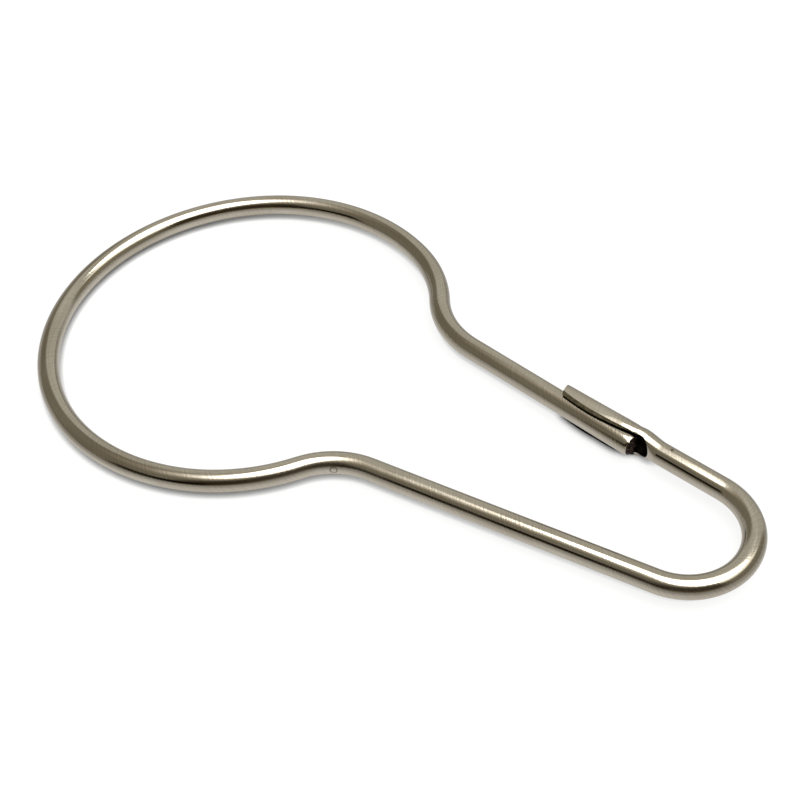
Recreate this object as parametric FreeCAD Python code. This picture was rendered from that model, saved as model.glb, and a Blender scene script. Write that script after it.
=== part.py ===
import FreeCAD, Part
import os
from math import cos, degrees, radians, sin, sqrt, tan

# A pear-shaped curtain hook, bent from one length of round wire that lies flat in the XY plane.
# The origin is the centre of the big loop, at the middle of the wire. X runs along the hook to
# the small loop, and the arm with the latch is on the +Y side. All lengths are in millimetres.

# The wire and its two loops. Radii of bends are measured to the middle of the wire.
wire_d = 2.0
loop_r = 19.0
eye_r = 5.6
eye_distance = 45.65

# The arms close towards the small loop, each at its own slope to X, in degrees.
plain_arm_slope = 5.55
latch_arm_slope = 7.6
free_arm_slope = 9.1

# At each side the big loop tightens to a shoulder, which begins this many degrees from X.
plain_shoulder_r = 17.7
plain_shoulder_angle = 68.0
free_shoulder_r = 13.75
free_shoulder_angle = 65.0

# The outward bends that turn the shoulders into the arms.
plain_neck_r = 7.35
free_neck_r = 9.45

# The latch: the wire's end at the small loop is flattened and curled into a channel.
latch_start = 6.0            # from the small loop along the arm to where the round wire ends
latch_neck = 2.7             # length of the change from round wire to channel
channel_length = 7.5
channel_wall = 0.36
channel_play = 0.10          # between the free wire and each side of the channel
channel_inset = 0.27         # the channel's middle line lies this far inside the arm's
back_thinning = 0.05         # the back of the channel is this much thinner than its sides
channel_roll = 6.5           # degrees by which the channel's mouth looks upwards

# The sides of the channel are curved along their edge, and reach furthest past its middle line
# at flange_peak from the tip. The tip is cut aslant, so the back ends later than the sides.
flange_reach = 0.62
flange_peak = 3.2
tip_reach = 0.25
tip_slant = 16.0

# The hollow of the channel runs out in the neck with a round end.
nose_inset = 0.6             # from the end of the neck to the centre of that round end

# The wire's other end springs outwards into the channel and ends in a plain cut.
seat_gap = 0.49              # from the free wire to the back of the channel, at the tip
free_end_gap = 0.4           # from the centre of the hollow's round end to the cut

neck_sections = 7

wire_r = wire_d / 2
bore_r = wire_r + channel_play
channel_r = bore_r + channel_wall
neck_end = latch_start + latch_neck
tip = neck_end + channel_length
nose = neck_end - nose_inset
seat = channel_inset - back_thinning - bore_r + seat_gap + wire_r

ORIGIN = FreeCAD.Vector(0, 0, 0)
ALONG = FreeCAD.Vector(1, 0, 0)
UP = FreeCAD.Vector(0, 0, 1)
EYE = FreeCAD.Vector(eye_distance, 0, 0)
ROLL_CENTRE = FreeCAD.Vector(0, -seat, 0)


def inward(slope, side):
    """Direction of an arm from the small loop towards the big one. side is 1 on +Y and -1 on -Y."""
    return FreeCAD.Vector(-cos(radians(slope)), side * sin(radians(slope)), 0)


def outward(slope, side):
    """Direction square to an arm, away from the middle of the hook."""
    return FreeCAD.Vector(sin(radians(slope)), side * cos(radians(slope)), 0)


def shoulder(angle, side, radius):
    """Where the big loop goes over into a shoulder, and the shoulder's centre."""
    direction = FreeCAD.Vector(cos(radians(angle)), side * sin(radians(angle)), 0)
    return direction * loop_r, direction * (loop_r - radius)


def neck(start, slope, side, neck_r, hub, hub_r):
    """A bend outside the arm's line: where it meets the line, its centre, where it meets the shoulder."""
    along = inward(slope, side)
    base = start + outward(slope, side) * neck_r - hub
    reach = base.dot(along)
    short = base.dot(base) - (hub_r + neck_r) ** 2
    travel = -reach - sqrt(reach ** 2 - short)
    spoke = base + along * travel
    return start + along * travel, hub + spoke, hub + spoke * (hub_r / spoke.Length)


def run(start, end):
    """A straight length of the wire."""
    return Part.makeCylinder(wire_r, (end - start).Length, start, end - start)


def bend(centre, start, turn):
    """A bend of the wire: its section at start, turned about an upright line by so many degrees."""
    spoke = start - centre
    section = Part.Face(Part.Wire(Part.makeCircle(wire_r, start, UP.cross(spoke))))
    return section.revolve(centre, UP, turn)


def turn_between(centre, start, end):
    """Degrees from start to end about centre, the short way, positive anticlockwise."""
    first = start - centre
    second = end - centre
    angle = degrees(first.getAngle(second))
    return angle if first.cross(second).z > 0 else -angle


def on_latch(back, out, up):
    """A point by its distance back along the latch arm, out from its middle line, and up."""
    return FreeCAD.Vector(-back, out, up)


def in_channel(back, out, up):
    """The same, but out from the channel's own middle line."""
    return on_latch(back, out - channel_inset, up)


def rolled(point, share):
    """The point turned by a share of the channel's roll, about the free wire's line at the tip."""
    turn = FreeCAD.Rotation(ALONG, -channel_roll * share)
    return ROLL_CENTRE + turn.multVec(point - ROLL_CENTRE)


def place_on_arm(shape):
    """Moves a shape from the latch's own frame to its place on the arm."""
    corner = EYE + outward(latch_arm_slope, 1) * eye_r
    shape.Placement = FreeCAD.Placement(corner, FreeCAD.Rotation(UP, -latch_arm_slope))
    return shape


def closed(edges):
    return Part.Wire([edge.toShape() for edge in edges])


def neck_section(share):
    """The section of the neck: round at share 0, and a half disc open to the inside at share 1."""
    ease = share * share * (3 - 2 * share)
    inset = channel_inset * share ** 3
    back = latch_start + latch_neck * share
    radius = wire_r + (channel_r - wire_r) * ease
    front = wire_r * (1 - ease)
    low = rolled(on_latch(back, -inset, -radius), ease)
    high = rolled(on_latch(back, -inset, radius), ease)
    crown = rolled(on_latch(back, radius - inset, 0), ease)
    mouth = rolled(on_latch(back, -front - inset, 0), ease)
    front_edge = Part.LineSegment(high, low) if share == 1 else Part.Arc(high, mouth, low)
    return closed([Part.Arc(low, crown, high), front_edge])


def channel_outside():
    """The outside of the channel: a round back and two level sides, longer and deeper than needed."""
    depth = 2 * flange_reach
    low = in_channel(neck_end, 0, -channel_r)
    high = in_channel(neck_end, 0, channel_r)
    low_front = in_channel(neck_end, -depth, -channel_r)
    high_front = in_channel(neck_end, -depth, channel_r)
    outline = closed([
        Part.Arc(low, in_channel(neck_end, channel_r, 0), high),
        Part.LineSegment(high, high_front),
        Part.LineSegment(high_front, low_front),
        Part.LineSegment(low_front, low),
    ])
    return Part.Face(outline).extrude(on_latch(channel_length + channel_r, 0, 0))


def channel_side_profile():
    """The channel seen from above: the curved edge of its sides, and the tip cut aslant."""
    height = 2 * channel_r
    lean = tan(radians(tip_slant)) * (height + tip_reach)
    at_neck = in_channel(neck_end, 0, -height)
    at_peak = in_channel(tip - flange_peak, -flange_reach, -height)
    at_tip = in_channel(tip, -tip_reach, -height)
    outer_tip = in_channel(tip + lean, height, -height)
    outer_neck = in_channel(neck_end, height, -height)
    outline = closed([
        Part.Arc(at_neck, at_peak, at_tip),
        Part.LineSegment(at_tip, outer_tip),
        Part.LineSegment(outer_tip, outer_neck),
        Part.LineSegment(outer_neck, at_neck),
    ])
    return Part.Face(outline).extrude(UP * (2 * height))


def hollow():
    """The space inside the channel: a U-shaped slot with a round end in the neck."""
    length = tip - nose + wire_d
    depth = 2 * channel_r
    crown = in_channel(nose, back_thinning + bore_r, 0)
    high = in_channel(nose, back_thinning, bore_r)
    low = in_channel(nose, back_thinning, -bore_r)
    high_front = in_channel(nose, -depth, bore_r)
    low_front = in_channel(nose, -depth, -bore_r)
    mid_front = in_channel(nose, -depth, 0)
    slot = closed([
        Part.Arc(low, crown, high),
        Part.LineSegment(high, high_front),
        Part.LineSegment(high_front, low_front),
        Part.LineSegment(low_front, low),
    ])
    diagonal = bore_r * sqrt(0.5)
    bulge = in_channel(nose, back_thinning + diagonal, diagonal)
    half = closed([
        Part.Arc(crown, bulge, high),
        Part.LineSegment(high, high_front),
        Part.LineSegment(high_front, mid_front),
        Part.LineSegment(mid_front, crown),
    ])
    straight = Part.Face(slot).extrude(on_latch(length, 0, 0))
    round_end = Part.Face(half).revolve(mid_front, FreeCAD.Vector(0, 1, 0), 180)
    return straight.fuse(round_end)


def latch():
    """The flattened end of the wire, from the round section through the neck to the tip."""
    shares = [i / (neck_sections - 1) for i in range(neck_sections)]
    neck_body = Part.makeLoft([neck_section(share) for share in shares], True)
    channel = channel_outside().common(channel_side_profile())
    space = hollow()
    for shape in (channel, space):
        shape.rotate(ROLL_CENTRE, ALONG, -channel_roll)
    return place_on_arm(neck_body.fuse(channel).cut(space))


def free_wire_at(back):
    """The middle of the free wire, by the distance back along the latch arm."""
    corner = EYE + outward(latch_arm_slope, 1) * eye_r
    spread = tan(radians(free_arm_slope - latch_arm_slope))
    offset = -seat - (tip - back) * spread
    return corner + inward(latch_arm_slope, 1) * back + outward(latch_arm_slope, 1) * offset


def wire():
    """The round wire from its free end, round both loops, to the start of the latch."""
    free_top, free_hub = shoulder(free_shoulder_angle, 1, free_shoulder_r)
    plain_top, plain_hub = shoulder(plain_shoulder_angle, -1, plain_shoulder_r)
    free_end = free_wire_at(nose + free_end_gap)
    free_foot, free_centre, free_touch = neck(
        free_end, free_arm_slope, 1, free_neck_r, free_hub, free_shoulder_r)
    eye_plain = EYE + outward(plain_arm_slope, -1) * eye_r
    eye_latch = EYE + outward(latch_arm_slope, 1) * eye_r
    plain_foot, plain_centre, plain_touch = neck(
        eye_plain, plain_arm_slope, -1, plain_neck_r, plain_hub, plain_shoulder_r)
    latch_end = eye_latch + inward(latch_arm_slope, 1) * latch_start
    return [
        run(free_end, free_foot),
        bend(free_centre, free_foot, turn_between(free_centre, free_foot, free_touch)),
        bend(free_hub, free_touch, turn_between(free_hub, free_touch, free_top)),
        bend(ORIGIN, free_top, 360 + turn_between(ORIGIN, free_top, plain_top)),
        bend(plain_hub, plain_top, turn_between(plain_hub, plain_top, plain_touch)),
        bend(plain_centre, plain_touch, turn_between(plain_centre, plain_touch, plain_foot)),
        run(plain_foot, eye_plain),
        bend(EYE, eye_plain, 180 - plain_arm_slope - latch_arm_slope),
        run(eye_latch, latch_end),
    ]


def build():
    pieces = wire() + [latch()]
    return pieces[0].multiFuse(pieces[1:]).removeSplitter()


os.makedirs("parts", exist_ok=True)
hook = build()
hook.exportStep("parts/hook_wire.step")
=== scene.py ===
from math import atan2, cos, pi, radians, sin, sqrt, tan

import bmesh
import bpy
from mathutils import Matrix, Vector, noise


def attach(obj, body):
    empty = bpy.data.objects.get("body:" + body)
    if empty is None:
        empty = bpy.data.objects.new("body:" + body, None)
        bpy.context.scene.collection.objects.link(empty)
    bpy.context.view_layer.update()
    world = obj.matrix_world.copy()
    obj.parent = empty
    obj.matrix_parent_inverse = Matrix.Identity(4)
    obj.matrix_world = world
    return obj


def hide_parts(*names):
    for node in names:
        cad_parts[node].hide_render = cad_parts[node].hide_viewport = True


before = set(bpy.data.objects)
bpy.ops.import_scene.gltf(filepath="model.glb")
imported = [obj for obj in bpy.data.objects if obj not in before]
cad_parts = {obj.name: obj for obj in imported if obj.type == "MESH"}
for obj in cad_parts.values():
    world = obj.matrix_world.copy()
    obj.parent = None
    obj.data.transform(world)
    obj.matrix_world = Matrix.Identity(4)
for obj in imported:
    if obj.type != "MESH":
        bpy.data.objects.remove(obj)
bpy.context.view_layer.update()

bl_info = {
    "name": "Curtain hook",
    "version": (1, 0, 0),
    "blender": (4, 5, 0),
    "location": "View3D > Sidebar > Curtain hook",
    "description": "A pear-shaped wire curtain hook with a channel latch, and a pale table to show it on",
    "category": "Add Mesh",
}

MM = 0.001
ORIGIN = Vector((0, 0, 0))

SIDES = 96                     # points round the wire
STRAIGHT_STEP = 1.0 * MM
LOOP_STEP = radians(1.5)
NECK_STEP = radians(4)
EYE_STEP = radians(3)
NECK_RINGS = 24
CHANNEL_RINGS = 40
ROUND_END_STEPS = 48
MOUTH_CUT = 3.0 * MM
# PAINTED_SHADE is painted shade: a near-black material put on the hollow's walls and the lower sheared
# edge, where shade falls.
PLATED, CUT, PAINTED_SHADE, SHEARED = range(4)    # the hook's finishes
WELD = 0.001 * MM

# The free end, pinched by the shears: steps back from the cut, and the share of the radius there.
PINCH = ((0.12 * MM, 0.945), (0.2 * MM, 0.975), (0.4 * MM, 0.992), (0.4 * MM, 1.0))
PINCH_AT_CUT = 0.88
# The torn face of the cut, in rings from its middle to its rim, and how deep and fine it is torn.
CUT_RINGS = (0.12, 0.3, 0.48, 0.64, 0.78, 0.9, 1.0)
TEAR_DEPTH = 0.22 * MM
TEAR_SIZE = 0.42 * MM
# Points of a quarter of the latch's section, from the middle of its mouth: along the front, along the
# sheared edge, and the rest over the flat of the side.
FRONT_POINTS, EDGE_POINTS = 6, 6
QUARTER = SIDES // 4
LEAST_REACH = 0.12 * MM           # the sides reach at least this far, so that the edge stays round
HOLLOW_FLARE = 1.36               # how much the hollow opens from its middle to its mouth
# Marks of wear: a ring from a bending tool, and a nick.
TOOL_RING, TOOL_RING_R = (17.93 * MM, -9.95 * MM, 0.16 * MM), 0.30 * MM
NICK = (41.30 * MM, 6.40 * MM, 0.96 * MM)
# The upper side of the latch arm was beaten a little flat: which way the flat leans from upright, half
# the angle it takes up, how nearly flat it is, and how softly it starts.
FLAT_LEAN, FLAT_HALF, FLATNESS, FLAT_START = radians(12), radians(15), 0.85, 0.2 * MM
NECK_FLAT_HALF = radians(31)      # the flat is wider over the neck
BEATEN = (-2.0 * MM, 1.0 * MM)    # where it grows, in distances back from the small loop
# How far out it starts to run down to the edge, over the neck and over the channel.
NECK_RUN_DOWN, CHANNEL_RUN_DOWN = 0.62 * MM, 0.28 * MM
LOWER_EXTRA = 0.3 * MM            # how much further the lower side reaches near the neck

# Marks that the die left: how far they wind in a radian, and the distance from one to the next.
WINDING, MARK_STEP, MARK_DEPTH = 0.64 * MM, 0.2 * MM, 0.0035 * MM
LINE_DEPTH = 0.004 * MM           # of the lines along the wire

# The camera: what it looks at, its direction, distance and roll, and its focal length in pixels of a
# picture PICTURE pixels wide.
TARGET = (17.8467 * MM, -0.063 * MM, 0)
AZIMUTH, ELEVATION, DISTANCE, ROLL = radians(39.773), radians(45.858), 119.883 * MM, radians(-6.006)
FOCAL, PICTURE, SENSOR = 1343.7, 800, 36.0

# The hook rests on its latch and on the far side of the big loop, so the table lies a little aslant.
TABLE_Z, TABLE_UP, TABLE_SIZE = -1.2045 * MM, Vector((0.00807, 0.00708, 0.99994)), 6.0


def length(name, description, millimetres):
    return bpy.props.FloatProperty(
        name=name, description=description, default=millimetres * MM, min=0.0,
        precision=5, step=0.01, subtype="DISTANCE", unit="LENGTH")


def angle(name, description, value):
    return bpy.props.FloatProperty(
        name=name, description=description, default=radians(value), subtype="ANGLE", unit="ROTATION")


def number(name, description, value, top=1.0):
    return bpy.props.FloatProperty(
        name=name, description=description, default=value, min=0.0, max=top, subtype="FACTOR")


def colour(name, description, value):
    return bpy.props.FloatVectorProperty(
        name=name, description=description, default=value, min=0.0, max=1.0, size=3, subtype="COLOR")


class HookSizes(bpy.types.PropertyGroup):
    """Sizes of the hook. All but the two of the lip are the solid's own."""

    wire_d: length("Wire", "Diameter of the wire", 2.0)
    loop_r: length("Big loop", "Radius of the big loop to the middle of the wire", 19.0)
    eye_r: length("Small loop", "Radius of the small loop to the middle of the wire", 5.6)
    eye_distance: length("Loop to loop", "From the centre of one loop to the centre of the other", 45.65)
    plain_arm_slope: angle("Plain arm", "Slope of the arm that has no latch", 5.55)
    latch_arm_slope: angle("Latch arm", "Slope of the arm that carries the latch", 7.6)
    free_arm_slope: angle("Free arm", "Slope of the arm that springs into the latch", 9.1)
    plain_shoulder_r: length("Plain shoulder", "Radius of the big loop's shoulder on the plain side", 17.7)
    plain_shoulder_angle: angle("Plain shoulder's start", "Where the plain shoulder leaves the loop", 68.0)
    free_shoulder_r: length("Free shoulder", "Radius of the big loop's shoulder on the latch side", 13.75)
    free_shoulder_angle: angle("Free shoulder's start", "Where the free shoulder leaves the loop", 65.0)
    plain_neck_r: length("Plain neck", "Radius of the bend between the plain shoulder and its arm", 7.35)
    free_neck_r: length("Free neck", "Radius of the bend between the free shoulder and its arm", 9.45)
    latch_start: length("Latch start", "From the small loop to where the round wire ends", 6.0)
    latch_neck: length("Latch neck", "Length of the change from round wire to channel", 2.7)
    channel_length: length("Channel", "Length of the channel", 7.5)
    channel_wall: length("Wall", "Thickness of the channel's wall", 0.36)
    channel_play: length("Play", "Between the free wire and each side of the channel", 0.10)
    channel_inset: length("Inset", "How far the channel's middle line lies inside the arm's", 0.27)
    back_thinning: length("Back", "How much thinner the channel's back is than its sides", 0.05)
    channel_roll: angle("Roll", "How far the channel's mouth looks upwards", 6.5)
    flange_reach: length("Sides", "How far the channel's sides reach past its middle line", 0.62)
    flange_peak: length("Peak", "From the tip to where the sides reach furthest", 3.2)
    tip_reach: length("Tip corner", "How far the sides reach past the middle line at the tip", 0.25)
    tip_slant: angle("Tip slant", "How far the tip is cut aslant", 16.0)
    edge_lip: length("Lip", "How far the sheared edge slants out under the channel's sides", 0.26)
    edge_drop: length("Lip's height", "Height of the sheared edge's slant", 0.25)
    nose_inset: length("Round end", "From the end of the neck to the centre of the hollow's round end", 0.6)
    seat_gap: length("Seat", "From the free wire to the back of the channel, at the tip", 0.49)
    free_end_gap: length("Free end", "From the centre of the hollow's round end to the cut", 0.4)


class HookFinish(bpy.types.PropertyGroup):
    """Colours and polish of the hook."""

    plating: colour("Plating", "Colour of the nickel plating", (0.57, 0.525, 0.44))
    tarnish: colour("Tarnish", "Colour where the plating is dull", (0.47, 0.42, 0.34))
    bare: colour("Cut steel", "Colour of the bare steel at the cut end", (0.075, 0.05, 0.04))
    # The inside colour is near-black painted shade for the latch's hollow and the lower side's sheared
    # edge.
    inside: colour("Inside", "Colour inside the latch", (0.05, 0.036, 0.03))
    sheared: colour("Sheared edge", "Colour of the latch's sheared edge", (0.36, 0.32, 0.22))
    polish: number("Roughness", "Roughness of the plating where it is bright", 0.10)
    satin: number("Satin", "Roughness of the plating where it is dull", 0.24)
    channel: number("Channel", "Roughness of the plating on the latch's channel", 0.38)


class StudioLook(bpy.types.PropertyGroup):
    """The table, the room and the light."""

    table: colour("Table", "Colour of the table", (0.16, 0.16, 0.16))
    table_glow: number("Table glow", "How much the table is lifted towards white for the camera", 0.88)
    table_mirrored: number("Mirrored glow", "The share of the glow that the hook mirrors close by", 0.78)
    table_far: number("Far glow", "What is left of that some millimetres away", 0.42)
    contact: length("Contact shadow", "How near the hook has to be to darken the table", 0.6)
    lamp: number("Lamp", "Brightness of the lamp above", 3.0, 50.0)
    lamp_size: angle("Lamp width", "Half the angle that the lamp above takes up", 28.0)


def sizes():
    return bpy.context.scene.hook_sizes


# Shaping in edit mode.

def leave_edit_mode():
    if bpy.context.mode != "OBJECT":
        bpy.ops.object.mode_set(mode="OBJECT")


def deselect_all():
    leave_edit_mode()
    bpy.ops.object.select_all(action="DESELECT")


def make_active(piece, *others):
    deselect_all()
    for one in (piece, *others):
        one.select_set(True)
    bpy.context.view_layer.objects.active = piece


def edit(piece, mode="EDGE"):
    make_active(piece)
    bpy.ops.object.mode_set(mode="EDIT")
    bpy.ops.mesh.select_mode(type=mode)
    bpy.ops.mesh.select_all(action="SELECT")


def select_points(wanted):
    """In edit mode, selects the points for which wanted(index, place) is true."""
    mesh = bpy.context.edit_object.data
    bpy.ops.mesh.select_mode(type="VERT")
    bpy.ops.mesh.select_all(action="DESELECT")
    shape = bmesh.from_edit_mesh(mesh)
    for point in shape.verts:
        point.select_set(wanted(point.index, point.co))
    shape.select_flush_mode()
    bmesh.update_edit_mesh(mesh)


def add_ring(name, centre, direction, radius):
    """A ring of points round a level direction, selected in edit mode."""
    deselect_all()
    yaw = atan2(direction.y, direction.x)
    bpy.ops.mesh.primitive_circle_add(
        vertices=SIDES, radius=radius, fill_type="NOTHING", location=centre, rotation=(0, pi / 2, yaw))
    ring = bpy.context.object
    ring.name = ring.data.name = name
    bpy.ops.object.transform_apply(location=True, rotation=True, scale=True)
    edit(ring)
    return ring


def draw_out(step, count=1):
    """Extends the selected edges by count equal steps."""
    for _ in range(count):
        bpy.ops.mesh.extrude_region_move(TRANSFORM_OT_translate={"value": step})


def draw_out_to(start, end):
    """Extends the selected ring along a straight run."""
    count = max(1, round((end - start).length / STRAIGHT_STEP))
    draw_out((end - start) / count, count)


def turn_ring(centre, turn, step):
    """Carries the selected ring round an upright line, anticlockwise where turn is positive."""
    count = max(2, round(abs(turn) / step))
    bpy.ops.mesh.spin(steps=count, angle=-turn, center=centre, axis=(0, 0, 1))


def weld_and_turn_outwards():
    bpy.ops.mesh.select_mode(type="VERT")
    bpy.ops.mesh.select_all(action="SELECT")
    bpy.ops.mesh.remove_doubles(threshold=WELD)
    bpy.ops.mesh.normals_make_consistent(inside=False)


def ease_between(value, low, high):
    """From 0 at low to 1 at high, with a soft start and end."""
    part = min(1.0, max(0.0, (value - low) / (high - low)))
    return part * part * (3 - 2 * part)


# The wire.

def inward(slope, side):
    """Direction of an arm from the small loop towards the big one. side is 1 on +Y and -1 on -Y."""
    return Vector((-cos(slope), side * sin(slope), 0))


def outward(slope, side):
    """Direction square to an arm, away from the middle of the hook."""
    return Vector((sin(slope), side * cos(slope), 0))


def eye_tangent(slope, side):
    """Where the small loop runs out into an arm."""
    s = sizes()
    return Vector((s.eye_distance, 0, 0)) + outward(slope, side) * s.eye_r


def shoulder(angle, side, radius):
    """Where the big loop goes over into a shoulder, and the shoulder's centre."""
    loop_r = sizes().loop_r
    direction = Vector((cos(angle), side * sin(angle), 0))
    return direction * loop_r, direction * (loop_r - radius)


def neck(start, slope, side, neck_r, hub, hub_r):
    """A bend outside the arm's line: where it meets the line, its centre, where it meets the shoulder."""
    along = inward(slope, side)
    base = start + outward(slope, side) * neck_r - hub
    reach = base.dot(along)
    short = base.dot(base) - (hub_r + neck_r) ** 2
    travel = -reach - sqrt(reach ** 2 - short)
    spoke = base + along * travel
    return start + along * travel, hub + spoke, hub + spoke * (hub_r / spoke.length)


def turn_between(centre, start, end):
    """The angle from start to end about centre, the short way, positive anticlockwise."""
    first, second = start - centre, end - centre
    size = first.angle(second)
    return size if first.cross(second).z > 0 else -size


def latch_ends():
    """Distances back along the latch arm: the end of the neck, the tip, the hollow's round end."""
    s = sizes()
    neck_end = s.latch_start + s.latch_neck
    return neck_end, neck_end + s.channel_length, neck_end - s.nose_inset


def seat():
    """How far the free wire lies inside the latch arm's line at the tip."""
    s = sizes()
    return s.channel_inset - s.back_thinning - s.channel_play + s.seat_gap


def free_wire_at(back):
    """The middle of the free wire, by the distance back along the latch arm."""
    s = sizes()
    tip = latch_ends()[1]
    slope = s.latch_arm_slope
    offset = -seat() - (tip - back) * tan(s.free_arm_slope - slope)
    return eye_tangent(slope, 1) + inward(slope, 1) * back + outward(slope, 1) * offset


def beaten(out, up, share, half):
    """A point of the round wire's section, moved by the flat on its upper side."""
    wire_r = sizes().wire_d / 2
    depth = -out * sin(FLAT_LEAN) + up * cos(FLAT_LEAN) - wire_r * cos(half)
    move = max(0.0, depth) * FLATNESS * share
    return out + move * sin(FLAT_LEAN), up - move * cos(FLAT_LEAN)


def mark_grain(piece, place_of):
    """Stores how far each point lies out, up and along the wire. The finish follows it."""
    grain = piece.data.attributes.new("grain", "FLOAT_VECTOR", "POINT")
    for point in piece.data.vertices:
        grain.data[point.index].vector = place_of(point)


def ring_places(piece, start):
    """For rings in order along the wire: a function that gives a point's place out, up and along."""
    points = piece.data.vertices
    middles, alongs = [], []
    for first in range(0, len(points), SIDES):
        middle = sum((points[i].co for i in range(first, first + SIDES)), Vector()) / SIDES
        alongs.append(alongs[-1] + (middle - middles[-1]).length if middles else start)
        middles.append(middle)

    def place_of(point):
        ring = point.index // SIDES
        mouth = (points[ring * SIDES].co - middles[ring]).normalized()
        offset = point.co - middles[ring]
        return (-offset.dot(mouth), offset.z, alongs[ring])

    return place_of, alongs[-1]


def bend_wire():
    """The round wire from its free end, round both loops, to the start of the latch."""
    s = sizes()
    eye = Vector((s.eye_distance, 0, 0))
    nose = latch_ends()[2]
    free_top, free_hub = shoulder(s.free_shoulder_angle, 1, s.free_shoulder_r)
    plain_top, plain_hub = shoulder(s.plain_shoulder_angle, -1, s.plain_shoulder_r)
    free_end = free_wire_at(nose + s.free_end_gap)
    free_foot, free_centre, free_touch = neck(
        free_end, s.free_arm_slope, 1, s.free_neck_r, free_hub, s.free_shoulder_r)
    eye_plain = eye_tangent(s.plain_arm_slope, -1)
    eye_latch = eye_tangent(s.latch_arm_slope, 1)
    plain_foot, plain_centre, plain_touch = neck(
        eye_plain, s.plain_arm_slope, -1, s.plain_neck_r, plain_hub, s.plain_shoulder_r)
    along_free = inward(s.free_arm_slope, 1)

    # Its free end: the shears pinched the wire a little before they parted it.
    wire_r = s.wire_d / 2
    wire = add_ring("hook_body", free_end, along_free, wire_r * PINCH_AT_CUT * CUT_RINGS[0])
    place, width = free_end, PINCH_AT_CUT * CUT_RINGS[0]
    steps = [(0.0, PINCH_AT_CUT * share) for share in CUT_RINGS[1:]] + list(PINCH)
    for step, next_width in steps:
        place = place + along_free * step
        draw_out(along_free * step)
        grow = next_width / width
        bpy.ops.transform.resize(value=(grow, grow, grow), center_override=place)
        width = next_width

    draw_out_to(place, free_foot)
    turn_ring(free_centre, turn_between(free_centre, free_foot, free_touch), NECK_STEP)
    turn_ring(free_hub, turn_between(free_hub, free_touch, free_top), LOOP_STEP)
    turn_ring(ORIGIN, 2 * pi + turn_between(ORIGIN, free_top, plain_top), LOOP_STEP)
    turn_ring(plain_hub, turn_between(plain_hub, plain_top, plain_touch), LOOP_STEP)
    turn_ring(plain_centre, turn_between(plain_centre, plain_touch, plain_foot), NECK_STEP)
    draw_out_to(plain_foot, eye_plain)
    turn_ring(eye, pi - s.plain_arm_slope - s.latch_arm_slope, EYE_STEP)
    draw_out_to(eye_latch, eye_latch + inward(s.latch_arm_slope, 1) * s.latch_start)
    leave_edit_mode()
    place_of, wire_length = ring_places(wire, 0.0)
    mark_grain(wire, place_of)
    along_latch, out_latch = inward(s.latch_arm_slope, 1), outward(s.latch_arm_slope, 1)
    for point in wire.data.vertices[len(wire.data.vertices) // 2:]:
        offset = point.co - eye_latch
        back, out, up = offset.dot(along_latch), offset.dot(out_latch), offset.z
        if back > BEATEN[0] and offset.y > -1.5 * s.wire_d:
            new_out, new_up = beaten(out, up, ease_between(back, *BEATEN), FLAT_HALF)
            point.co += out_latch * (new_out - out) + Vector((0, 0, new_up - up))

    edit(wire)
    select_points(lambda index, place: index < SIDES)
    bpy.ops.mesh.edge_face_add()
    leave_edit_mode()
    torn = len(CUT_RINGS) * SIDES
    for point in wire.data.vertices[:torn]:
        tear = noise.fractal(point.co / TEAR_SIZE, 0.7, 2.0, 3)
        rim = min(1.0, (wire_r * PINCH_AT_CUT - (point.co - free_end).length) / (0.2 * MM))
        point.co -= along_free * tear * TEAR_DEPTH * (0.3 + 0.7 * max(0.0, rim))
    for face in wire.data.polygons:
        face.material_index = CUT if max(face.vertices) < torn else PLATED
    return wire, wire_length


# The latch, which lies along -X in its own frame: back is the distance from the small loop.

def side_reach(back):
    """How far the channel's sides reach past its middle line, on an arc through three points."""
    s = sizes()
    neck_end, tip = latch_ends()[:2]
    first = Vector((neck_end, 0))
    peak = Vector((tip - s.flange_peak, s.flange_reach)) - first
    last = Vector((tip, s.tip_reach)) - first
    twice = 2 * peak.cross(last)
    across = Vector((last.y * peak.length_squared - peak.y * last.length_squared,
                     peak.x * last.length_squared - last.x * peak.length_squared)) / twice
    centre = first + across
    return centre.y + sqrt(across.length_squared - (back - centre.x) ** 2)


def rolled(point, share):
    """The point turned by a share of the channel's roll, about the free wire's line at the tip."""
    centre = Vector((0, -seat(), 0))
    turn = Matrix.Rotation(-sizes().channel_roll * share, 3, "X")
    return centre + turn @ (Vector(point) - centre)


def side_point(part, back, upper):
    """A point of the channel's side by the share of the way from the mouth's middle to its flat."""
    s = sizes()
    neck_end = latch_ends()[0]
    height = s.wire_d / 2 + s.channel_play + s.channel_wall
    reach = LEAST_REACH
    if back > neck_end:
        reach = sqrt(LEAST_REACH ** 2 + max(0.0, side_reach(back)) ** 2)
    formed = ease_between(back, neck_end - 0.5 * MM, neck_end + 1.4 * MM)
    if not upper:
        reach += (LOWER_EXTRA * ease_between(back, neck_end - 0.6 * MM, neck_end + 0.4 * MM)
                  * (1 - ease_between(back, neck_end + 0.8 * MM, neck_end + 3.6 * MM)))
    lip, drop = s.edge_lip * formed, s.edge_drop * formed + LEAST_REACH * (1 - formed)
    front, edge = FRONT_POINTS / QUARTER, EDGE_POINTS / QUARTER
    if part < front:
        return -reach - lip, (height - drop) * part / front
    if part < front + edge:
        share = (part - front) / edge
        return -reach - lip * (1 - share), height - drop * (1 - share)
    return -reach * (1 - part) / (1 - front - edge), height


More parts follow.
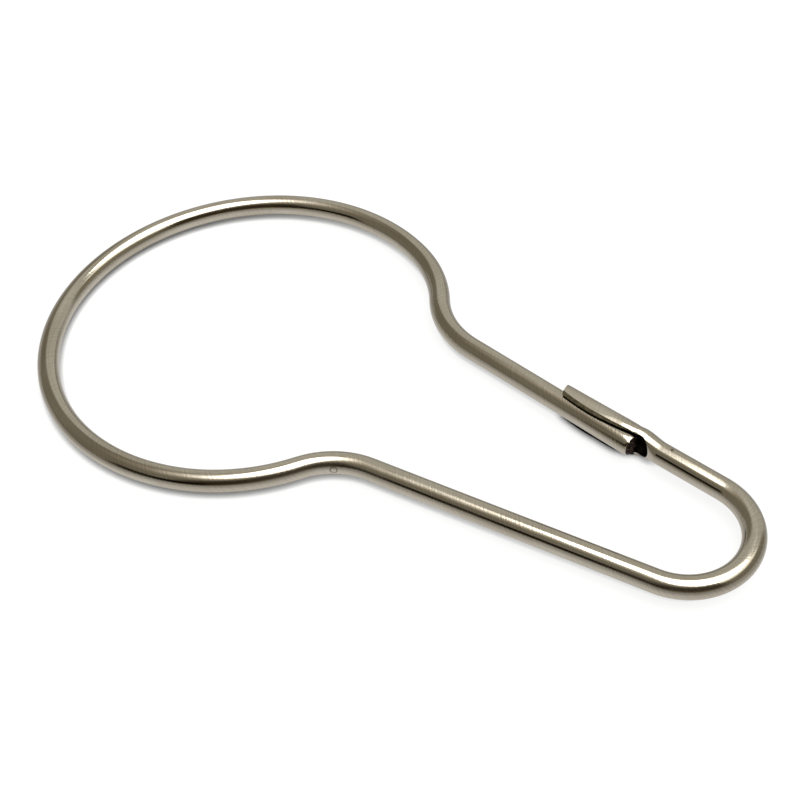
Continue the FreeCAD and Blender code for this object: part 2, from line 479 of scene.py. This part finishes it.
def run_down(out, back):
    """How far the flat has run down towards the edge of the channel's upper side."""
    neck_end = latch_ends()[0]
    edge = -side_reach(back) if back > neck_end else 0.0
    narrowing = ease_between(back, neck_end + 0.5 * MM, neck_end + 4.2 * MM)
    formed = ease_between(back, neck_end - 0.6 * MM, neck_end + 0.8 * MM)
    wide = NECK_RUN_DOWN + (CHANNEL_RUN_DOWN - NECK_RUN_DOWN) * formed
    start = wide * (1 - narrowing) + edge * narrowing
    past = max(0.0, start - out)
    if past < FLAT_START:
        return tan(FLAT_LEAN) * past ** 2 / (2 * FLAT_START)
    return tan(FLAT_LEAN) * (past - FLAT_START / 2)


def outside_point(index, back):
    """A point of the latch's outside, by its number round the wire from the mouth."""
    s = sizes()
    neck_end = latch_ends()[0]
    wire_r, grow = s.wire_d / 2, s.channel_play + s.channel_wall
    ease = ease_between(back, s.latch_start, neck_end)
    angle_round = 2 * pi * index / SIDES
    across, upright = cos(angle_round), sin(angle_round)
    upper = upright >= 0
    rise = ease_between(back, s.latch_start, neck_end + 1.5 * MM) if upper else ease
    widening = ease_between(back, s.latch_start + 0.3 * MM, neck_end - 0.3 * MM)
    half = FLAT_HALF + (NECK_FLAT_HALF - FLAT_HALF) * widening
    round_out, round_up = beaten(-across * wire_r, upright * wire_r, 1.0, half)
    if index < QUARTER or index > 3 * QUARTER:
        out, up = side_point(min(index, SIDES - index) / QUARTER, back, upper)
    else:
        out, up = -across * (wire_r + grow), abs(upright) * (wire_r + grow)
    out = round_out * (1 - ease) + out * ease
    if upper:
        up -= run_down(out, back)
    up = abs(round_up) * (1 - rise) + up * rise
    if back > neck_end:
        share = (back - neck_end) / s.channel_length
        back += share * tan(s.tip_slant) * (out + side_reach(back))
    inset = s.channel_inset * min(1.0, max(0.0, (back - s.latch_start) / s.latch_neck)) ** 3
    point = Vector((-back, out - inset, up if upper else -up))
    return rolled(point, ease_between(back, neck_end - 0.5 * MM, neck_end + 3.0 * MM))


def form_outside():
    """The neck and the channel before it is hollowed."""
    s = sizes()
    outside = add_ring("latch", Vector((-s.latch_start, 0, 0)), Vector((-1, 0, 0)), s.wire_d / 2)
    neck_end = latch_ends()[0]
    backs = [s.latch_start + s.latch_neck * i / NECK_RINGS for i in range(NECK_RINGS)]
    backs += [neck_end + s.channel_length * i / CHANNEL_RINGS for i in range(CHANNEL_RINGS + 1)]
    draw_out(Vector((-STRAIGHT_STEP, 0, 0)), len(backs) - 1)
    shape = bmesh.from_edit_mesh(outside.data)
    shape.verts.ensure_lookup_table()
    for ring, back in enumerate(backs):
        for i in range(SIDES):
            shape.verts[ring * SIDES + i].co = outside_point(i, back)
    # The edge that the shears left along the channel's sides isn't plated. Along the lower side it gets
    # near-black painted shade, for the shade in the gap under the channel.
    for face in shape.faces:
        rings = {point.index // SIDES for point in face.verts}
        turns = [min(point.index % SIDES, SIDES - point.index % SIDES) for point in face.verts]
        formed = backs[min(rings)] > neck_end - 0.3 * MM
        if formed and max(turns) <= FRONT_POINTS + EDGE_POINTS:
            upper = max(point.index % SIDES for point in face.verts) < SIDES // 2
            face.material_index = SHEARED if upper else PAINTED_SHADE
    bmesh.update_edit_mesh(outside.data)
    # Both ends are shut, because the cut needs a closed body.
    bpy.ops.mesh.edge_face_add()
    for face in bmesh.from_edit_mesh(outside.data).faces:
        if face.select:
            face.material_index = SHEARED
    select_points(lambda index, place: index < SIDES)
    bpy.ops.mesh.edge_face_add()
    weld_and_turn_outwards()
    leave_edit_mode()
    return outside


def form_hollow():
    """The space inside the channel: a U-shaped slot with a round end in the neck."""
    s = sizes()
    bore_r = s.wire_d / 2 + s.channel_play
    tip, nose = latch_ends()[1:]
    middle = s.back_thinning - s.channel_inset
    # Half a ring with its two ends drawn out past the mouth.
    slot = add_ring("slot", Vector((-nose, middle, 0)), Vector((-1, 0, 0)), bore_r)
    select_points(lambda index, place: place.y < middle - WELD)
    bpy.ops.mesh.delete(type="VERT")
    select_points(lambda index, place: place.y < middle + WELD)
    draw_out(Vector((0, -MOUTH_CUT, 0)))
    bpy.ops.transform.resize(value=(1, 1, HOLLOW_FLARE), center_override=(0, 0, 0))
    leave_edit_mode()
    make_active(slot)
    bpy.ops.object.duplicate()
    round_end = bpy.context.object
    edit(slot)
    far_end = -tip - s.wire_d
    draw_out(Vector((nose + far_end, 0, 0)))
    edit(round_end)
    select_points(lambda index, place: place.z < -WELD)
    bpy.ops.mesh.delete(type="VERT")
    bpy.ops.mesh.select_mode(type="EDGE")
    bpy.ops.mesh.select_all(action="SELECT")
    bpy.ops.mesh.spin(steps=ROUND_END_STEPS, angle=-pi, center=(-nose, 0, 0), axis=(0, 1, 0))
    make_active(slot, round_end)
    bpy.ops.object.join()
    edit(slot, "VERT")
    bpy.ops.mesh.remove_doubles(threshold=WELD)
    select_points(lambda index, place: place.x < far_end + WELD)
    bpy.ops.mesh.edge_face_add()
    select_points(lambda index, place: place.y < middle - MOUTH_CUT + WELD)
    bpy.ops.mesh.edge_face_add()
    weld_and_turn_outwards()
    leave_edit_mode()
    for point in slot.data.vertices:
        point.co = rolled(point.co, 1.0)
    # The hollow's walls get the near-black painted shade.
    for face in slot.data.polygons:
        face.material_index = PAINTED_SHADE
    return slot


def form_latch(wire_length, finishes):
    """The flattened end of the wire, placed on its arm."""
    s = sizes()
    latch = form_outside()
    slot = form_hollow()
    for piece in (latch, slot):
        for finish in finishes:
            piece.data.materials.append(finish)
    make_active(latch)
    cut = latch.modifiers.new("hollow", "BOOLEAN")
    cut.operation, cut.solver, cut.object = "DIFFERENCE", "EXACT", slot
    cut.material_mode = "INDEX"
    bpy.ops.object.modifier_apply(modifier=cut.name)
    bpy.data.objects.remove(slot, do_unlink=True)

    # The shut end at the neck is opened again, for the wire to join it.
    edit(latch, "FACE")
    bpy.ops.mesh.select_all(action="DESELECT")
    shape = bmesh.from_edit_mesh(latch.data)
    for face in shape.faces:
        if all(abs(point.co.x + s.latch_start) < WELD for point in face.verts):
            face.select_set(True)
    bmesh.update_edit_mesh(latch.data)
    bpy.ops.mesh.delete(type="ONLY_FACE")
    leave_edit_mode()
    mark_grain(latch, lambda point: (
        point.co.y, point.co.z, wire_length - s.latch_start - point.co.x))

    corner = eye_tangent(s.latch_arm_slope, 1)
    latch.data.transform(
        Matrix.Translation(corner) @ Matrix.Rotation(-s.latch_arm_slope, 4, "Z"))
    return latch


# Finishes.

def new_material(name):
    material = bpy.data.materials.new(name)
    material.use_nodes = True
    nodes = material.node_tree.nodes
    nodes.clear()
    return material, nodes, material.node_tree.links


def set_inputs(node, values):
    for name, value in values.items():
        node.inputs[name].default_value = value


def nickel_plate(wire_length):
    """Nickel plating on drawn wire: fine lines and winding marks, cloudy tarnish and a soft gloss."""
    finish = bpy.context.scene.hook_finish
    material, nodes, links = new_material("nickel_plate")
    out = nodes.new("ShaderNodeOutputMaterial")
    metal = nodes.new("ShaderNodeBsdfPrincipled")
    set_inputs(metal, {"Metallic": 1.0})
    links.new(metal.outputs[0], out.inputs[0])

    grain = nodes.new("ShaderNodeAttribute")
    grain.attribute_name = "grain"

    def lines(across, along, detail):
        """Noise stretched along the wire, by its size across and along in millimetres."""
        stretch = nodes.new("ShaderNodeMapping")
        stretch.inputs["Scale"].default_value = (1 / (across * MM), 1 / (across * MM), 1 / (along * MM))
        links.new(grain.outputs["Vector"], stretch.inputs["Vector"])
        streaks = nodes.new("ShaderNodeTexNoise")
        set_inputs(streaks, {"Scale": 1.0, "Detail": detail, "Roughness": 0.55})
        links.new(stretch.outputs[0], streaks.inputs["Vector"])
        return streaks.outputs["Fac"]

    def math(operation, *values):
        node = nodes.new("ShaderNodeMath")
        node.operation = operation
        for socket, value in zip(node.inputs, values):
            if isinstance(value, bpy.types.NodeSocket):
                links.new(value, socket)
            else:
                socket.default_value = value
        return node.outputs[0]

    def spread(value, low, high, to_low=0.0, to_high=1.0):
        node = nodes.new("ShaderNodeMapRange")
        set_inputs(node, {"From Min": low, "From Max": high, "To Min": to_low, "To Max": to_high})
        links.new(value, node.inputs["Value"])
        return node.outputs[0]

    # The die turned a little as the wire came through it, and left fine marks that wind round it.
    place = nodes.new("ShaderNodeSeparateXYZ")
    links.new(grain.outputs["Vector"], place.inputs[0])
    out_place, up_place, along_place = place.outputs
    wound = math("MULTIPLY", math("ARCTAN2", up_place, out_place), WINDING)
    winding = nodes.new("ShaderNodeTexNoise")
    winding.noise_dimensions = "1D"
    set_inputs(winding, {"Scale": 1.0, "Detail": 1.0, "Roughness": 0.5})
    links.new(math("DIVIDE", math("ADD", along_place, wound), MARK_STEP), winding.inputs["W"])
    marks = winding.outputs["Fac"]

    clouds = spread(lines(1.2, 9.0, 3.0), 0.35, 0.7)
    drawn = lines(0.07, 2.5, 2.0)
    dullness = math("ADD", clouds, math("ADD", spread(marks, 0.3, 0.7, -0.3, 0.3),
                                        spread(drawn, 0.3, 0.7, -0.35, 0.35)))
    mix = nodes.new("ShaderNodeMix")
    mix.data_type = "RGBA"
    mix.inputs[6].default_value = (*finish.plating, 1)
    mix.inputs[7].default_value = (*finish.tarnish, 1)
    mix.clamp_factor = False
    links.new(dullness, mix.inputs[0])

    # A bending tool left a small ring at the near neck, and something nicked the latch arm.
    where = nodes.new("ShaderNodeTexCoord")

    def distance_from(spot):
        node = nodes.new("ShaderNodeVectorMath")
        node.operation = "DISTANCE"
        node.inputs[1].default_value = spot
        links.new(where.outputs["Object"], node.inputs[0])
        return node.outputs["Value"]

    off_ring = math("ABSOLUTE", math("SUBTRACT", distance_from(TOOL_RING), TOOL_RING_R))
    marked = math("MAXIMUM", spread(off_ring, 0.03 * MM, 0.09 * MM, 0.6, 0.0),
                  spread(distance_from(NICK), 0.08 * MM, 0.2 * MM, 0.8, 0.0))
    worn = nodes.new("ShaderNodeMix")
    worn.data_type = "RGBA"
    links.new(marked, worn.inputs[0])
    links.new(mix.outputs[2], worn.inputs[6])
    worn.inputs[7].default_value = (*finish.bare, 1)
    links.new(worn.outputs[2], metal.inputs["Base Color"])
    rubbed = spread(lines(1.5, 14.0, 2.0), 0.38, 0.68, finish.polish, finish.satin)
    # The channel was beaten, which left it dull, and so did the bending of the near arm.
    channel = spread(along_place, wire_length + 3.0 * MM, wire_length + 5.0 * MM, 0.0, finish.channel)
    bent_from = spread(along_place, wire_length - 50.6 * MM, wire_length - 50.2 * MM)
    bent_to = spread(along_place, wire_length - 46.5 * MM, wire_length - 43.0 * MM, finish.satin, 0.0)
    links.new(math("MAXIMUM", math("MAXIMUM", rubbed, channel), math("MULTIPLY", bent_from, bent_to)),
              metal.inputs["Roughness"])

    wound_marks = nodes.new("ShaderNodeBump")
    set_inputs(wound_marks, {"Distance": MARK_DEPTH})
    # The beaten latch arm keeps less of them.
    links.new(spread(along_place, wire_length - 10.0 * MM, wire_length - 7.0 * MM, 1.0, 0.35),
              wound_marks.inputs["Strength"])
    links.new(marks, wound_marks.inputs["Height"])
    drawn_lines = nodes.new("ShaderNodeBump")
    set_inputs(drawn_lines, {"Strength": 0.3, "Distance": LINE_DEPTH})
    links.new(drawn, drawn_lines.inputs["Height"])
    links.new(wound_marks.outputs[0], drawn_lines.inputs["Normal"])
    links.new(drawn_lines.outputs[0], metal.inputs["Normal"])
    return material


def mottled_metal(name, light, dark, roughness, grain_size):
    """Metal mottled between two colours, for unplated steel and for the near-black painted shade."""
    material, nodes, links = new_material(name)
    out = nodes.new("ShaderNodeOutputMaterial")
    metal = nodes.new("ShaderNodeBsdfPrincipled")
    set_inputs(metal, {"Metallic": 1.0, "Roughness": roughness})
    links.new(metal.outputs[0], out.inputs[0])
    place = nodes.new("ShaderNodeTexCoord")
    mottle = nodes.new("ShaderNodeTexNoise")
    set_inputs(mottle, {"Scale": 1 / grain_size, "Detail": 3.0, "Roughness": 0.6})
    links.new(place.outputs["Object"], mottle.inputs["Vector"])
    spread = nodes.new("ShaderNodeMapRange")
    set_inputs(spread, {"From Min": 0.4, "From Max": 0.62})
    links.new(mottle.outputs["Fac"], spread.inputs["Value"])
    mix = nodes.new("ShaderNodeMix")
    mix.data_type = "RGBA"
    links.new(spread.outputs[0], mix.inputs[0])
    mix.inputs[6].default_value = (*dark, 1)
    mix.inputs[7].default_value = (*light, 1)
    links.new(mix.outputs[2], metal.inputs["Base Color"])
    rough = nodes.new("ShaderNodeBump")
    set_inputs(rough, {"Strength": 0.5, "Distance": 0.1 * grain_size})
    links.new(mottle.outputs["Fac"], rough.inputs["Height"])
    links.new(rough.outputs[0], metal.inputs["Normal"])
    return material


def cut_steel():
    """Bare steel where the wire was parted, torn and darkened."""
    bare = bpy.context.scene.hook_finish.bare
    return mottled_metal("cut_steel", bare, [0.35 * part for part in bare], 0.5, 0.12 * MM)


def painted_shade_inside():
    """Near-black painted shade for the inside of the latch and the lower side's sheared edge, where shade
    falls.
    """
    inside = bpy.context.scene.hook_finish.inside
    return mottled_metal("painted_shade_inside", inside, [0.5 * part for part in inside], 0.5, 0.2 * MM)


def sheared_edge():
    """The edge that the shears left along the channel's sides."""
    sheared = bpy.context.scene.hook_finish.sheared
    return mottled_metal("sheared_edge", sheared, [0.55 * part for part in sheared], 0.36, 0.3 * MM)


class MESH_OT_curtain_hook(bpy.types.Operator):
    """Bend the wire, form the latch at its end, and plate it"""

    bl_idname = "mesh.curtain_hook"
    bl_label = "Curtain hook"

    def execute(self, context):
        wire, wire_length = bend_wire()
        finishes = [nickel_plate(wire_length), cut_steel(), painted_shade_inside(), sheared_edge()]
        for finish in finishes:
            wire.data.materials.append(finish)
        latch = form_latch(wire_length, finishes)
        make_active(wire, latch)
        bpy.ops.object.join()
        edit(wire)
        weld_and_turn_outwards()
        leave_edit_mode()
        if open_edges(wire):
            raise RuntimeError("the hook's surface is open")
        wire.name = wire.data.name = "plated_wire"
        make_active(wire)
        bpy.ops.object.shade_smooth_by_angle(angle=radians(32))
        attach(wire, "root")
        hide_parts("hook_wire")
        return {"FINISHED"}


def open_edges(piece):
    """How many edges don't join exactly two faces."""
    shape = bmesh.new()
    shape.from_mesh(piece.data)
    count = sum(not edge.is_manifold for edge in shape.edges)
    shape.free()
    return count


# Table, room and light.

def look_from(target, azimuth, elevation, distance, roll):
    """Placement of a camera or lamp that looks at target, turned by roll about its own view."""
    back = Vector((sin(azimuth) * cos(elevation), -cos(azimuth) * cos(elevation), sin(elevation)))
    level = Vector((0, 0, 1)).cross(back).normalized()
    upright = back.cross(level)
    right = level * cos(roll) + upright * sin(roll)
    top = upright * cos(roll) - level * sin(roll)
    turn = Matrix((right, top, back)).transposed().to_4x4()
    return Matrix.Translation(Vector(target) + back * distance) @ turn


def set_camera():
    camera = bpy.data.objects.new("camera", bpy.data.cameras.new("camera"))
    bpy.context.scene.collection.objects.link(camera)
    camera.data.sensor_width = SENSOR
    camera.data.lens = SENSOR * FOCAL / PICTURE
    camera.data.clip_start, camera.data.clip_end = 0.005, 20.0
    camera.matrix_world = look_from(TARGET, AZIMUTH, ELEVATION, DISTANCE, ROLL)
    bpy.context.scene.camera = camera


def table_material():
    look = bpy.context.scene.studio_look
    material, nodes, links = new_material("table")
    out = nodes.new("ShaderNodeOutputMaterial")
    cloth = nodes.new("ShaderNodeBsdfDiffuse")
    cloth.inputs["Color"].default_value = (*look.table, 1)
    glow = nodes.new("ShaderNodeEmission")
    total = nodes.new("ShaderNodeAddShader")
    ray = nodes.new("ShaderNodeLightPath")
    seen = nodes.new("ShaderNodeMath")
    seen.operation, seen.use_clamp = "ADD", True
    links.new(ray.outputs["Is Camera Ray"], seen.inputs[0])
    mirrored = nodes.new("ShaderNodeMath")
    mirrored.operation = "ADD"
    links.new(ray.outputs["Is Glossy Ray"], mirrored.inputs[0])
    links.new(ray.outputs["Is Transmission Ray"], mirrored.inputs[1])
    # Painted shade in the hook's reflections: the glow that the hook mirrors fades with the ray's length,
    # so the table further off looks darker in them.
    fade = nodes.new("ShaderNodeMapRange")
    set_inputs(fade, {"From Min": 0.9 * MM, "From Max": 6.0 * MM, "To Min": look.table_mirrored,
                      "To Max": look.table_mirrored * look.table_far})
    links.new(ray.outputs["Ray Length"], fade.inputs["Value"])
    dimmed = nodes.new("ShaderNodeMath")
    dimmed.operation = "MULTIPLY"
    links.new(fade.outputs[0], dimmed.inputs[1])
    links.new(mirrored.outputs[0], dimmed.inputs[0])
    links.new(dimmed.outputs[0], seen.inputs[1])
    strength = nodes.new("ShaderNodeMath")
    strength.operation = "MULTIPLY"
    strength.inputs[1].default_value = look.table_glow
    links.new(seen.outputs[0], strength.inputs[0])
    # Close to the hook the table keeps its contact shadow.
    near = nodes.new("ShaderNodeAmbientOcclusion")
    near.samples = 3
    near.inputs["Distance"].default_value = look.contact
    soft = nodes.new("ShaderNodeMath")
    soft.operation = "POWER"
    soft.inputs[1].default_value = 1.15
    links.new(near.outputs["AO"], soft.inputs[0])
    shaded = nodes.new("ShaderNodeMath")
    shaded.operation = "MULTIPLY"
    links.new(strength.outputs[0], shaded.inputs[0])
    links.new(soft.outputs[0], shaded.inputs[1])
    links.new(shaded.outputs[0], glow.inputs["Strength"])
    links.new(cloth.outputs[0], total.inputs[0])
    links.new(glow.outputs[0], total.inputs[1])
    # From below the table is clear, so that the underside can be looked at.
    clear = nodes.new("ShaderNodeBsdfTransparent")
    side = nodes.new("ShaderNodeNewGeometry")
    below = nodes.new("ShaderNodeMixShader")
    links.new(side.outputs["Backfacing"], below.inputs[0])
    links.new(total.outputs[0], below.inputs[1])
    links.new(clear.outputs[0], below.inputs[2])
    links.new(below.outputs[0], out.inputs[0])
    return material


ROOM_R = 1.5
LAMP_DISTANCE, LAMP_AZIMUTH, LAMP_ELEVATION = 1.0, radians(60), radians(78)
# The room's wall by elevation in degrees: plain and warm below, paler towards the lamp.
WALL = ((0, (0.235, 0.215, 0.17)), (50, (0.245, 0.225, 0.18)), (60, (0.34, 0.31, 0.25)),
        (68, (0.62, 0.58, 0.50)), (78, (1.0, 0.97, 0.90)))
# Cards and drapes that stand before it, in degrees: towards (0 is +Y and 90 is +X), half its width,
# from and up to what elevation, how soft its edge is, and its colour.
CARDS = (
    (-10, 46, -20, 60, 6, (0.60, 0.59, 0.54)),      # pale card at the far side
    (-20, 34, -9, 5, 2, (0.26, 0.25, 0.22)),        # the dark foot of it
    (60, 32, -20, 34, 4, (0.27, 0.25, 0.195)),      # plain card to the right
    (64, 32, 38, 62, 4, (1.7, 1.65, 1.5)),          # bright card above it
    (140, 42, 9, 49, 6, (0.05, 0.037, 0.021)),      # dark drape at the near side
    (130, 58, -20, 8, 4, (0.24, 0.21, 0.155)),      # what shows below it
    (-172, 24, 8, 27, 3, (0.0, 0.0, 0.0)),          # black bar
    (-70, 22, -20, 9, 5, (0.50, 0.49, 0.46)),       # low white card to the left
)


def room_material():
    material, nodes, links = new_material("room")
    out = nodes.new("ShaderNodeOutputMaterial")
    glow = nodes.new("ShaderNodeEmission")
    links.new(glow.outputs[0], out.inputs[0])

    def vector(operation, first, second=None):
        node = nodes.new("ShaderNodeVectorMath")
        node.operation = operation
        links.new(first, node.inputs[0])
        if second is not None:
            node.inputs[1].default_value = second
        return node

    def number_of(operation, *values):
        node = nodes.new("ShaderNodeMath")
        node.operation = operation
        for socket, value in zip(node.inputs, values):
            if isinstance(value, bpy.types.NodeSocket):
                links.new(value, socket)
            else:
                socket.default_value = value
        return node.outputs[0]

    def step(value, low, high):
        node = nodes.new("ShaderNodeMapRange")
        node.interpolation_type = "SMOOTHSTEP"
        set_inputs(node, {"From Min": low, "From Max": high})
        links.new(value, node.inputs["Value"])
        return node.outputs[0]

    place = nodes.new("ShaderNodeTexCoord").outputs["Object"]
    towards = vector("NORMALIZE", place).outputs["Vector"]
    level = vector("NORMALIZE", vector("MULTIPLY", place, (1, 1, 0)).outputs["Vector"]).outputs["Vector"]
    height = vector("DOT_PRODUCT", towards, (0, 0, 1)).outputs["Value"]
    elevation = number_of("MULTIPLY", number_of("ARCSINE", height), 180 / pi)

    wall = nodes.new("ShaderNodeValToRGB")
    links.new(number_of("DIVIDE", elevation, 90.0), wall.inputs[0])
    for position, (degrees, shade) in enumerate(WALL):
        stop = (wall.color_ramp.elements[position] if position < 2
                else wall.color_ramp.elements.new(degrees / 90))
        stop.position, stop.color = degrees / 90, (*shade, 1)
    shade = wall.outputs["Color"]
    for towards_card, half, low, high, soft, colour_of in CARDS:
        turn = radians(towards_card)
        nearness = vector("DOT_PRODUCT", level, (sin(turn), cos(turn), 0)).outputs["Value"]
        side = step(nearness, cos(radians(half + soft)), cos(radians(max(0, half - soft))))
        foot = step(elevation, low - soft, low + soft)
        top = step(elevation, high + soft, high - soft)
        mix = nodes.new("ShaderNodeMix")
        mix.data_type = "RGBA"
        links.new(number_of("MULTIPLY", number_of("MULTIPLY", side, foot), top), mix.inputs[0])
        links.new(shade, mix.inputs[6])
        mix.inputs[7].default_value = (*colour_of, 1)
        shade = mix.outputs[2]
    links.new(shade, glow.inputs["Color"])
    material.cycles.emission_sampling = "NONE"
    return material


class SCENE_OT_hook_studio(bpy.types.Operator):
    """Lay the hook on a pale table, with a lamp above, a dim room and a camera"""

    bl_idname = "scene.hook_studio"
    bl_label = "Table and light"

    def execute(self, context):
        look = context.scene.studio_look
        deselect_all()
        bpy.ops.mesh.primitive_plane_add(size=TABLE_SIZE, location=(0, 0, TABLE_Z))
        table = context.object
        table.name = table.data.name = "table"
        table.rotation_euler = Vector((0, 0, 1)).rotation_difference(TABLE_UP).to_euler()
        table.data.materials.append(table_material())
        bpy.ops.object.transform_apply(location=True, rotation=True, scale=True)

        bpy.ops.mesh.primitive_uv_sphere_add(segments=48, ring_count=24, radius=ROOM_R)
        room = context.object
        room.name = room.data.name = "room"
        room.data.materials.append(room_material())
        room.visible_camera = False

        lamp = bpy.data.objects.new("lamp", bpy.data.lights.new("lamp", "AREA"))
        context.scene.collection.objects.link(lamp)
        lamp.data.shape = "DISK"
        lamp.data.size = 2 * LAMP_DISTANCE * tan(look.lamp_size)
        area = pi * (lamp.data.size / 2) ** 2
        lamp.data.energy = look.lamp * area * pi
        lamp.matrix_world = look_from((18 * MM, 0, 0), pi - LAMP_AZIMUTH, LAMP_ELEVATION, LAMP_DISTANCE, 0)

        world = bpy.data.worlds.new("white")
        world.use_nodes = True
        world.node_tree.nodes["Background"].inputs["Color"].default_value = (1, 1, 1, 1)
        context.scene.world = world
        context.scene.view_settings.view_transform = "Standard"
        set_camera()
        return {"FINISHED"}


class VIEW3D_PT_curtain_hook(bpy.types.Panel):
    """Lists the hook and its table in the sidebar"""

    bl_label = "Curtain hook"
    bl_space_type = "VIEW_3D"
    bl_region_type = "UI"
    bl_category = "Curtain hook"

    def draw(self, context):
        scene = context.scene
        for group in (scene.hook_sizes, scene.hook_finish, scene.studio_look):
            box = self.layout.box()
            for name in group.bl_rna.properties.keys():
                if name not in ("rna_type", "name"):
                    box.prop(group, name)
        self.layout.operator(MESH_OT_curtain_hook.bl_idname)
        self.layout.operator(SCENE_OT_hook_studio.bl_idname)


CLASSES = (HookSizes, HookFinish, StudioLook, MESH_OT_curtain_hook, SCENE_OT_hook_studio,
           VIEW3D_PT_curtain_hook)


def register():
    for one in CLASSES:
        bpy.utils.register_class(one)
    bpy.types.Scene.hook_sizes = bpy.props.PointerProperty(type=HookSizes)
    bpy.types.Scene.hook_finish = bpy.props.PointerProperty(type=HookFinish)
    bpy.types.Scene.studio_look = bpy.props.PointerProperty(type=StudioLook)


def unregister():
    del bpy.types.Scene.hook_sizes, bpy.types.Scene.hook_finish, bpy.types.Scene.studio_look
    for one in reversed(CLASSES):
        bpy.utils.unregister_class(one)


def main():
    register()
    bpy.ops.mesh.curtain_hook()
    bpy.ops.scene.hook_studio()


if __name__ == "__main__":
    main()
